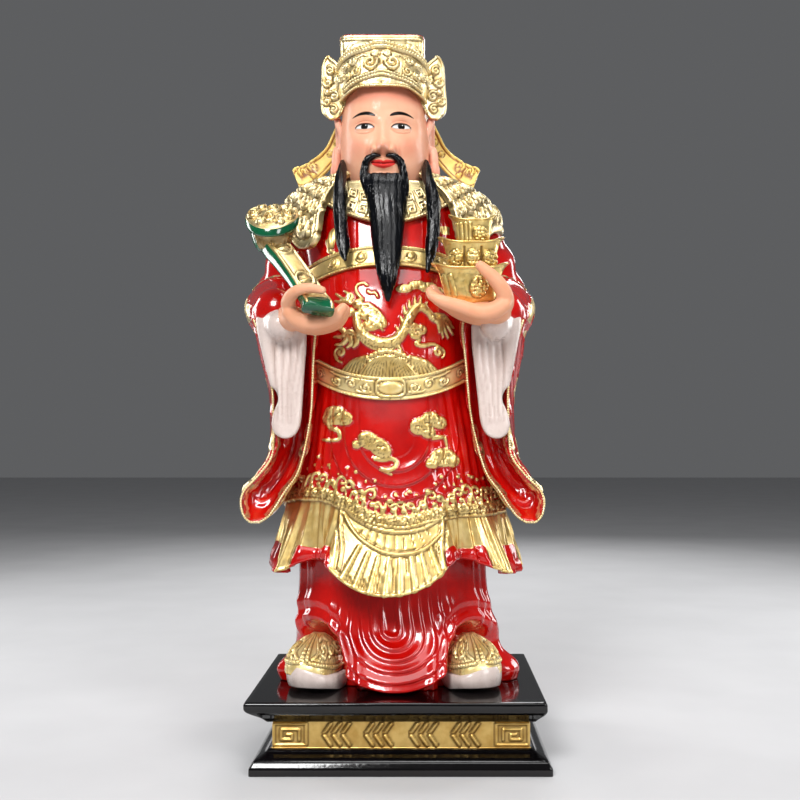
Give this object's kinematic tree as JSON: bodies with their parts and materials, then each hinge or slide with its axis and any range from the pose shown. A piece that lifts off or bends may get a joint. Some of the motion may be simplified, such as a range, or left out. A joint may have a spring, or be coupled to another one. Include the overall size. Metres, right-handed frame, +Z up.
{
  "type": "caishen figure",
  "caption": "Standing robed god-of-wealth statue of painted resin on a black moulded plinth, holding a ruyi sceptre and a stack of ingots.",
  "frame": {"origin": "middle of the plinth's flat underside, on the surface that the statue stands on", "axes": "+Z up, the figure faces -Y, +X is to the right in a front view, where the ingots are"},
  "size_m": [0.2078, 0.1962, 0.5145],
  "materials": {
    "red_enamel": "glossy red enamel on cast resin, with gilded relief",
    "black_lacquer": "glossy black lacquer on cast resin",
    "gold_leaf": "gilt over cast resin",
    "yellow_paint": "satin yellow paint"
  },
  "bodies": {
    "root": {"figure": "red_enamel", "plinth": "black_lacquer", "ruyi_sceptre": "gold_leaf", "ingot_stack": "gold_leaf", "hat_lappet_left": "yellow_paint", "hat_lappet_right": "yellow_paint"}
  },
  "joints": []
}
